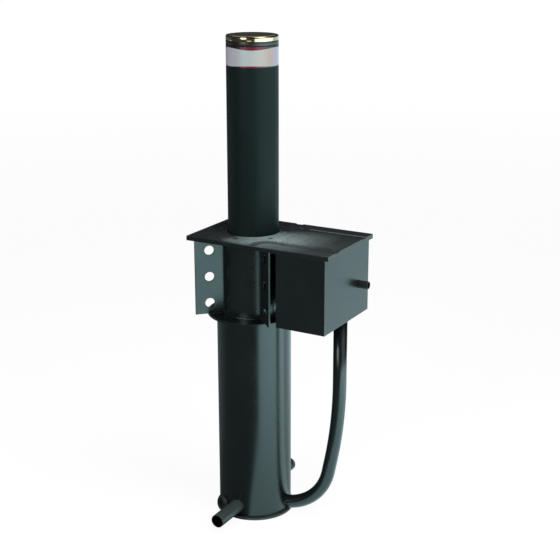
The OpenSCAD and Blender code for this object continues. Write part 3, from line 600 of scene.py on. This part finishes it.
link(share.outputs["Value"], part.inputs[0])
link(part.outputs["Value"], tints.inputs["Fac"])
link(tints.outputs["Color"], pale.inputs["A"])
link(tints.outputs["Color"], dull.inputs["A"])
link(dull.outputs["Result"], pale.inputs["B"])
link(beads.outputs["Distance"], bead_tone.inputs["Value"])
link(bead_tone.outputs["Result"], pale.inputs["Factor"])
link(printed.outputs["Result"], colour.inputs["Factor"])
link(red.outputs["Result"], colour.inputs["A"])
link(pale.outputs["Result"], colour.inputs["B"])
link(colour.outputs["Result"], shader.inputs["Base Color"])
link(colour.outputs["Result"], shader.inputs["Emission Color"])
link(beads.outputs["Distance"], gloss.inputs["Value"])
link(gloss.outputs["Result"], shader.inputs["Roughness"])
link(beads.outputs["Distance"], bump.inputs["Height"])
link(bump.outputs["Normal"], shader.inputs["Normal"])
finish["reflective_film"] = film
print("film from", round(film_low.z, 3), "to", round(film_high.z, 3))

# %% [markdown]
# ## A finish for every solid
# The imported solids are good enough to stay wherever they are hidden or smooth. Each takes the finish
# of its slot in the record. The pieces made further down replace the ones that need more shape.

# %% Dress the solids
for name, solid in nodes.items():
    solid.material_slots[0].material = finish[slot_of[name]]
print("dressed solids:", len(nodes))

# %% [markdown]
# ## Rounded edges
# Real steel has no razor-sharp edges: cut plate is ground, and paint pulls into a small round that
# catches the light. A copy of a solid is a mesh of loose triangles, so it is merged and its flat faces
# joined first. Then every sharp outer corner is bevelled. The middle of each bevel is marked in an
# attribute named edge, and the wear group reads it.

# %% Make a piece
def make_piece(bm, name, body, slot, *stands_for, worn=None):
    """Turns a finished bmesh into an object that rides on a body and wears a slot's finish."""
    mesh = bpy.data.meshes.new(name)
    bm.to_mesh(mesh)
    bm.free()
    mesh.shade_smooth()
    mesh.set_sharp_from_angle(angle=radians(35))
    mesh.materials.clear()
    mesh.materials.append(finish[worn or slot])
    piece = bpy.data.objects.new(name, mesh)
    scene.collection.objects.link(piece)
    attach(piece, body)
    if stands_for:
        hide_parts(*stands_for)
    return piece


def soften(bm, radius, choose=None):
    """Rounds the sharp outer edges, or those that are chosen, and marks the middle of each round."""
    sharp = [edge for edge in bm.edges
             if len(edge.link_faces) == 2 and edge.is_convex and edge.calc_face_angle() > radians(35)]
    if choose:
        sharp = [edge for edge in sharp if choose(edge)]
    layer = bm.verts.layers.float.get("edge") or bm.verts.layers.float.new("edge")
    result = bmesh.ops.bevel(bm, geom=sharp, offset=radius, affect="EDGES", segments=2, profile=0.5,
                             material=-1, clamp_overlap=True)
    rounds = set(result["faces"])
    for vert in bm.verts:
        if vert.link_faces and all(face in rounds for face in vert.link_faces):
            vert[layer] = 1.0


def rounded_copy(node, radius, worn=None):
    """Replaces a solid by a copy whose outer edges are rounded."""
    bm = bmesh.new()
    bm.from_mesh(nodes[node].data)
    bmesh.ops.remove_doubles(bm, verts=bm.verts, dist=0.005 * mm)
    bmesh.ops.dissolve_limit(bm, angle_limit=radians(0.5), verts=bm.verts, edges=bm.edges)
    soften(bm, radius)
    piece = make_piece(bm, node + "_rounded", nodes[node]["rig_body"], slot_of[node], node, worn=worn)
    weighted = piece.modifiers.new("weighted", "WEIGHTED_NORMAL")
    weighted.keep_sharp = True
    print(node, "faces:", len(piece.data.polygons))
    return piece


print("edge helpers ready")

# %% Round the plates and pipes
for plate in ("side_box", "fin_front_left", "fin_front_right", "fin_rear_right", "fin_rear_left"):
    rounded_copy(plate, 1.2 * mm)
# The tread finish carries the painted highlight beside the post.
for tread in ("top_plate", "collar_ring", "access_cover"):
    rounded_copy(tread, 0.8 * mm, worn="tread")
rounded_copy("flange_ring", 0.8 * mm)
for low_piece in ("base_disc", "front_drain", "rear_drain", "outlet_boss"):
    rounded_copy(low_piece, 0.7 * mm, worn="dusty_paint")
for moulding in ("outlet_plug", "cable_entry"):
    rounded_copy(moulding, 0.7 * mm)

# %% [markdown]
# ## The conduit
# A pipe leaves the underside of the box, leans in, and bends to the foot of the casing. The pipe is a
# circle that is extruded along its straight stretches and spun round the centre of each bend, which
# gives true arcs and an even wall. Its route is worked out flat, as a distance out from the post's axis
# and a height. The last ring of points slides along the pipe until it lies on the casing's round bore,
# and the finished pipe is turned into its direction.

# %% Conduit
conduit_turn = radians(4)
lean = radians(11.2)
lean_r = 1850 * mm
lean_z = 637 * mm
bend_r = 225 * mm
run = radians(81)
foot_z = 38.5 * mm
pipe_r = 28.5 * mm
pipe_wall = 3.5 * mm
bore_r = 150.5 * mm
conduit_inset = 41 * mm
box_low, box_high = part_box("side_box")
conduit_out = (box_high.x - conduit_inset) / cos(conduit_turn)
bend_drop = bend_r * (sin(run) - sin(lean))
bend_in = bend_r * (cos(lean) - cos(run))
lean_out = conduit_out - lean_r * (1 - cos(lean))
lean_low = lean_z - lean_r * sin(lean)
slant = ((lean_low - bend_drop - foot_z - (lean_out - bend_in - bore_r) / tan(run))
         / (cos(lean) - sin(lean) / tan(run)))
run_out = lean_out - slant * sin(lean) - bend_in
run_length = (run_out - bore_r) / sin(run)

bm = bmesh.new()
ring = bmesh.ops.create_circle(bm, segments=48, radius=pipe_r,
                               matrix=Matrix.Translation((conduit_out, 0, box_low.z)))
rim = list({edge for vert in ring["verts"] for edge in vert.link_edges})


def stretch(rim, shift):
    """Extrudes the pipe's open end by a straight shift."""
    made = bmesh.ops.extrude_edge_only(bm, edges=rim)["geom"]
    bmesh.ops.translate(bm, vec=shift, verts=[item for item in made if isinstance(item, bmesh.types.BMVert)])
    return [item for item in made if isinstance(item, bmesh.types.BMEdge)]


def sweep(rim, centre, angle, steps):
    """Spins the pipe's open end round the centre of a bend."""
    made = bmesh.ops.spin(bm, geom=rim, cent=centre, axis=(0, 1, 0), angle=angle, steps=steps)
    return [item for item in made["geom_last"] if isinstance(item, bmesh.types.BMEdge)]


rim = stretch(rim, (0, 0, lean_z - box_low.z))
rim = sweep(rim, (conduit_out - lean_r, 0, lean_z), lean, 12)
rim = stretch(rim, (-slant * sin(lean), 0, -slant * cos(lean)))
bend_top = Vector((lean_out - slant * sin(lean), 0, lean_low - slant * cos(lean)))
bend_centre = bend_top - Vector((bend_r * cos(lean), 0, -bend_r * sin(lean)))
rim = sweep(rim, bend_centre, run - lean, 28)
rim = stretch(rim, (-run_length * sin(run), 0, -run_length * cos(run)))
for vert in {vert for edge in rim for vert in edge.verts}:
    past_bore = vert.co.x - sqrt(bore_r ** 2 - vert.co.y ** 2)
    vert.co -= Vector((past_bore, 0, past_bore / tan(run)))
bmesh.ops.recalc_face_normals(bm, faces=bm.faces)
bmesh.ops.rotate(bm, cent=(0, 0, 0), matrix=Matrix.Rotation(conduit_turn, 3, "Z"), verts=bm.verts)
conduit = make_piece(bm, "conduit_pipe", "ground_unit", "satin_paint", "conduit")
wall = conduit.modifiers.new("wall", "SOLIDIFY")
wall.thickness = pipe_wall
wall.offset = -1
print("conduit run:", round(run_length, 3))

# %% [markdown]
# ## Welds
# The buried parts are welded together and painted over. A bead of weld is a thin round bar that swells
# and shrinks a little where each drop of metal set. A ring of weld is a small circle spun round an
# axis, and a straight run is a thin cylinder. Round a pipe that meets the casing from the side, the ring
# is bent to the casing's curve, because a pipe meets a round wall along a saddle and not a flat circle.

# %% Weld helpers
bead_r = 3 * mm
drop_length = 5 * mm
swell = 0.08


def swollen(length_along):
    """How much thicker or thinner a bead is at a place along it."""
    return 1 + swell * cos(2 * pi * length_along / drop_length)


def weld_ring(radius, height=0, size=bead_r, wall_r=None):
    """A bead round the Z axis. With a wall radius, it is bent to lie on a round wall across the X axis."""
    drops = round(2 * pi * radius / drop_length)
    made = bmesh.new()
    disc = bmesh.ops.create_circle(made, segments=8, radius=size, matrix=Matrix.Rotation(pi / 2, 4, "X"))
    bmesh.ops.translate(made, vec=(radius, 0, 0), verts=disc["verts"])
    bmesh.ops.spin(made, geom=made.verts[:] + made.edges[:], cent=(0, 0, 0), axis=(0, 0, 1), angle=2 * pi,
                   steps=4 * drops, use_merge=True)
    for vert in made.verts:
        angle = atan2(vert.co.y, vert.co.x)
        middle = Vector((radius * cos(angle), radius * sin(angle), 0))
        vert.co = middle + (vert.co - middle) * (1 + swell * cos(drops * angle))
        if wall_r:
            vert.co.z += sqrt(wall_r ** 2 - middle.x ** 2)
    bmesh.ops.translate(made, vec=(0, 0, height), verts=made.verts)
    return made


def weld_run(start, end, size=bead_r):
    """A straight bead from one point to another."""
    along = Vector(end) - Vector(start)
    made = bmesh.new()
    bmesh.ops.create_cone(made, cap_ends=True, segments=8, radius1=size, radius2=size, depth=along.length)
    long_edges = [edge for edge in made.edges if abs(edge.verts[0].co.z - edge.verts[1].co.z) > size]
    bmesh.ops.subdivide_edges(made, edges=long_edges, cuts=round(4 * along.length / drop_length))
    for vert in made.verts:
        vert.co.xy *= swollen(vert.co.z)
    turn = along.to_track_quat("Z", "Y").to_matrix().to_4x4()
    middle = (Vector(start) + Vector(end)) / 2
    bmesh.ops.transform(made, matrix=Matrix.Translation(middle) @ turn, verts=made.verts)
    return made


def join_beads(name, beads):
    """Puts several beads into one painted piece."""
    bm = bmesh.new()
    scrap = bpy.data.meshes.new("scrap")
    for bead in beads:
        bead.to_mesh(scrap)
        bead.free()
        bm.from_mesh(scrap)
    bpy.data.meshes.remove(scrap)
    bmesh.ops.recalc_face_normals(bm, faces=bm.faces)
    return make_piece(bm, name, "ground_unit", "satin_paint")


print("weld drops per metre:", round(1 / drop_length))

# %% Welds of the casing and the fins
casing_low, casing_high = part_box("casing_tube")
_, tube_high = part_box("guide_tube")
flange_low, flange_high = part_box("flange_ring")
rings = [weld_ring(casing_high.x, casing_low.z),
         weld_ring(casing_high.x, flange_low.z),
         weld_ring(tube_high.x, flange_high.z)]
fin_half = 4 * mm
toe_gap = 4 * mm
fin_runs = []
for turn in (45, 135, 225, 315):
    spoke = Matrix.Rotation(radians(turn), 3, "Z")
    for side in (-1, 1):
        root = sqrt(tube_high.x ** 2 - fin_half ** 2)
        foot = spoke @ Vector((root, side * fin_half, flange_high.z))
        top = spoke @ Vector((root, side * fin_half, plate_low.z))
        toe = spoke @ Vector((flange_high.x - toe_gap, side * fin_half, flange_high.z))
        fin_runs += [weld_run(foot, top), weld_run(foot, toe)]
casing_welds = join_beads("casing_welds", rings + fin_runs)
print("casing welds faces:", len(casing_welds.data.polygons))

# %% Welds of the pipes
outlet_z = 42 * mm
run_rise = (casing_high.x - bore_r) / tan(run)
pipes = ((-90, drain_z), (90, drain_z), (-120, outlet_z), (degrees(conduit_turn), foot_z + run_rise))
lay_down = Matrix.Rotation(pi / 2, 4, "Y") @ Matrix.Rotation(pi / 2, 4, "Z")
saddles = []
for turn, level in pipes:
    saddle = weld_ring(pipe_r, wall_r=casing_high.x)
    facing_out = Matrix.Rotation(radians(turn), 4, "Z") @ lay_down
    bmesh.ops.transform(saddle, matrix=Matrix.Translation((0, 0, level)) @ facing_out, verts=saddle.verts)
    saddles.append(saddle)
collar = weld_ring(pipe_r, box_low.z)
collar_place = (conduit_out * cos(conduit_turn), conduit_out * sin(conduit_turn), 0)
bmesh.ops.translate(collar, vec=collar_place, verts=collar.verts)
pipe_welds = join_beads("pipe_welds", saddles + [collar])
print("pipe welds faces:", len(pipe_welds.data.polygons))

# %% [markdown]
# ## Screws
# The cover and the collar are held by countersunk screws with a six-sided socket. A screw's top is a
# ring bridged to a hexagon. The hexagon is extruded down for the socket, and the ring is extruded in
# steps for the cone and the shank. The finished screw is copied to every hole.

# %% Screw helpers
screw_head_r = 7.5 * mm
shank_r = 4 * mm
screw_head_h = 4.4 * mm
screw_length = 15 * mm
socket_r = 3.4 * mm
socket_deep = 2.6 * mm
lip_h = 0.3 * mm


def extruded(bm, rim, shift, scale=1):
    """Extrudes an open rim by a shift along Z, scales its new ring about the Z axis and returns that ring."""
    made = bmesh.ops.extrude_edge_only(bm, edges=rim)["geom"]
    verts = [item for item in made if isinstance(item, bmesh.types.BMVert)]
    bmesh.ops.translate(bm, vec=(0, 0, shift), verts=verts)
    bmesh.ops.scale(bm, vec=(scale, scale, 1), verts=verts)
    return [item for item in made if isinstance(item, bmesh.types.BMEdge)]


def rim_of(circle):
    """The edges of a circle that was just made."""
    return list({edge for vert in circle["verts"] for edge in vert.link_edges})


def make_screw():
    """One countersunk screw with a hexagon socket, with its top at the origin."""
    bm = bmesh.new()
    outer = rim_of(bmesh.ops.create_circle(bm, segments=24, radius=screw_head_r - lip_h))
    inner = rim_of(bmesh.ops.create_circle(bm, segments=6, radius=socket_r))
    bmesh.ops.bridge_loops(bm, edges=outer + inner)
    floor_rim = extruded(bm, inner, -socket_deep)
    bmesh.ops.contextual_create(bm, geom=floor_rim)
    lip = extruded(bm, outer, -lip_h, screw_head_r / (screw_head_r - lip_h))
    neck = extruded(bm, lip, -screw_head_h + lip_h, shank_r / screw_head_r)
    tip = extruded(bm, neck, -screw_length + screw_head_h)
    bmesh.ops.contextual_create(bm, geom=tip)
    bmesh.ops.recalc_face_normals(bm, faces=bm.faces)
    return bm


def place_screws(name, node, places):
    """Copies the screw to every place in a list, as one piece that replaces a node."""
    bm = bmesh.new()
    pattern = make_screw()
    scrap = bpy.data.meshes.new("scrap")
    for place in places:
        pattern.to_mesh(scrap)
        scrap.transform(Matrix.Translation(place))
        bm.from_mesh(scrap)
    pattern.free()
    bpy.data.meshes.remove(scrap)
    return make_piece(bm, name, "ground_unit", "dark_steel", node)


print("screw length:", screw_length)

# %% Screws of the cover and the collar
collar_screws = 6
screw_circle = 138.75 * mm
low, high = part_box("cover_screws")
screw_xs = (low.x + screw_head_r, high.x - screw_head_r)
screw_ys = (low.y + screw_head_r, high.y - screw_head_r)
corners = [(x, y, high.z) for x in screw_xs for y in screw_ys]
turns = [(i + 0.5) * 2 * pi / collar_screws for i in range(collar_screws)]
circle_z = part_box("collar_screws")[1].z
circle = [(screw_circle * cos(turn), screw_circle * sin(turn), circle_z) for turn in turns]
place_screws("cover_screws_socketed", "cover_screws", corners)
place_screws("collar_screws_socketed", "collar_screws", circle)
print("screws:", len(corners) + len(circle))

# %% [markdown]
# ## Tread ribs
# The ground plate is cast with low ribs in circles round the post, in bands of three with a wider
# groove between bands, so that tyres and shoes grip it. A rib is a small profile that is spun round the
# post's axis: steep towards the post, and falling gently away from it. Ribs keep clear of the screws,
# of the plate's edges and of the two sunk margins, so each circle is first cut into the runs that lie
# on ribbed ground.

# %% Rib helpers
cover_low, cover_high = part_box("access_cover")
rib_half = 6.0 * mm
rib_rise = 2.7 * mm
rib_sink = 0.2 * mm
rib_step = 12.5 * mm
collar_band = 126 * mm
plate_band = 170 * mm
band_step = 40 * mm
plate_bands = 9
rib_profile = ((-rib_half, -rib_sink), (-0.55 * rib_half, rib_rise), (-0.4 * rib_half, rib_rise),
               (rib_half, -rib_sink))


def rib(bm, radius, start, end, level):
    """Spins one low rib round the post's axis, from one angle to another."""
    verts = [bm.verts.new((radius + across, 0, level + up)) for across, up in rib_profile]
    edges = [bm.edges.new((verts[i - 1], verts[i])) for i in range(len(verts))]
    bmesh.ops.rotate(bm, cent=(0, 0, 0), matrix=Matrix.Rotation(start, 3, "Z"), verts=verts)
    whole = end - start > 2 * pi - 0.001
    steps = max(3, ceil((end - start) / radians(3)))
    bmesh.ops.spin(bm, geom=verts + edges, cent=(0, 0, 0), axis=(0, 0, 1),
                   angle=end - start, steps=steps, use_merge=whole)


def runs(radius, ribbed, steps=1440):
    """Stretches of a circle, as pairs of angles, that lie on ribbed ground."""
    turns = [2 * pi * step / steps for step in range(steps + 1)]
    good = [ribbed(radius * cos(turn), radius * sin(turn)) for turn in turns]
    if all(good):
        return [(0, 2 * pi)]
    starts = [turns[i] for i in range(1, steps) if good[i] and not good[i - 1]]
    ends = [turns[i] for i in range(1, steps) if good[i] and not good[i + 1]]
    if good[0]:
        starts = [starts[-1] - 2 * pi] + starts[:-1]
    return [(start, end) for start, end in zip(starts, ends) if end - start > radians(2)]


def rib_piece(name, radii, ribbed):
    """Makes all the ribs of one surface as a single piece."""
    bm = bmesh.new()
    for radius in radii:
        for start, end in runs(radius, ribbed):
            rib(bm, radius, start, end, plate_high.z)
    bmesh.ops.holes_fill(bm, edges=[edge for edge in bm.edges if edge.is_boundary], sides=12)
    bmesh.ops.recalc_face_normals(bm, faces=bm.faces)
    piece = make_piece(bm, name, "ground_unit", "satin_paint", worn="tread")
    print(name, "faces:", len(piece.data.polygons))


bands = [collar_band] + [plate_band + step * band_step for step in range(plate_bands)]
rib_radii = [band + side * rib_step for band in bands for side in (-1, 0, 1)]
print("ribs:", len(rib_radii))

# %% Ribs on the collar, the plate and the cover
collar_r = 150.5 * mm
plate_reach = 290 * mm
screw_clear = screw_head_r + 3 * mm
edge_gap = rib_half + 2 * mm
seam_gap = 1 * mm
tread_half = 101 * mm
margin_x = 110 * mm
margin_mid = 120.5 * mm
margin_half = 19.5 * mm
margin_bend = 50 * mm


def clear_of_screws(x, y):
    """On the collar, ribs stop short of the screws' heads."""
    return all(hypot(x - screw_x, y - screw_y) > screw_clear for screw_x, screw_y, _ in circle)


def inside_margins(x, y):
    """Whether a point lies on the post's side of the sunk margins, along which they bend outwards."""
    bend_x, bend_y = margin_x + margin_bend, margin_mid + margin_bend
    if x > bend_x:
        return abs(y) < tread_half - seam_gap
    if abs(y) > bend_y:
        return x < margin_x - margin_half - seam_gap
    return hypot(x - bend_x, abs(y) - bend_y) > margin_bend + margin_half + seam_gap


def on_plate(x, y):
    """On the plate, ribs stop at its edges, at the sunk margins and at the cover."""
    on_sheet = plate_low.x + edge_gap < x < cover_low.x - seam_gap and abs(y) < plate_high.y - edge_gap
    return on_sheet and inside_margins(x, y)


def on_cover(x, y):
    """On the cover, ribs fill the field between the sunk margins."""
    return cover_low.x + seam_gap < x < cover_high.x - edge_gap and abs(y) < tread_half - seam_gap


rib_piece("collar_ribs", [radius for radius in rib_radii if radius < collar_r], clear_of_screws)
rib_piece("plate_ribs", [radius for radius in rib_radii if collar_r < radius < plate_reach], on_plate)
rib_piece("cover_ribs", [radius for radius in rib_radii if radius > cover_low.x], on_cover)

# %% [markdown]
# ## The head
# A polished cap closes the post, on a dark ring. Both are turned parts, so each is half a profile spun
# once round the axis. The cap has a full round where its top meets the rim, because that round is what
# draws the bright line in the picture.

# %% Turn a profile
def turn_profile(points, steps=128):
    """Spins a chain of (radius, height) points once round the post's axis."""
    bm = bmesh.new()
    verts = [bm.verts.new((radius, 0, height)) for radius, height in points]
    edges = [bm.edges.new(pair) for pair in zip(verts, verts[1:])]
    bmesh.ops.spin(bm, geom=verts + edges, cent=(0, 0, 0), axis=(0, 0, 1), angle=2 * pi,
                   steps=steps, use_merge=True)
    bmesh.ops.remove_doubles(bm, verts=bm.verts, dist=0.001 * mm)
    bmesh.ops.recalc_face_normals(bm, faces=bm.faces)
    return bm


def round_corner(radius, height, size, start, end, steps=6):
    """Points on an arc about a centre, for a rounded corner of a profile."""
    angles = [radians(start + (end - start) * step / steps) for step in range(steps + 1)]
    return [(radius + size * cos(angle), height + size * sin(angle)) for angle in angles]


print("a round has", len(round_corner(0, 0, 1, 0, 90)), "points")

# %% Cap and ring
ring_low, ring_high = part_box("head_ring")
_, cap_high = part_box("head_cap")
head_r = cap_high.x
cap_round = 6 * mm
foot_round = 1 * mm
cap_profile = [(0, ring_high.z), (head_r - foot_round, ring_high.z)]
cap_profile += round_corner(head_r - foot_round, ring_high.z + foot_round, foot_round, -90, 0, 3)
cap_profile += round_corner(head_r - cap_round, cap_high.z - cap_round, cap_round, 0, 90)
cap_profile += [(0, cap_high.z)]
cap = make_piece(turn_profile(cap_profile), "cap_turned", "post", "polished_steel", "head_cap")

ring_round = 1.5 * mm
ring_in = head_r - 8 * mm
ring_profile = [(ring_in, ring_low.z)]
ring_profile += round_corner(head_r - ring_round, ring_low.z + ring_round, ring_round, -90, 0, 4)
ring_profile += round_corner(head_r - ring_round, ring_high.z - ring_round, ring_round, 0, 90, 4)
ring_profile += [(ring_in, ring_high.z), (ring_in, ring_low.z)]
ring = make_piece(turn_profile(ring_profile), "head_ring_turned", "post", "dark_ring", "head_ring")
print("head faces:", len(cap.data.polygons) + len(ring.data.polygons))
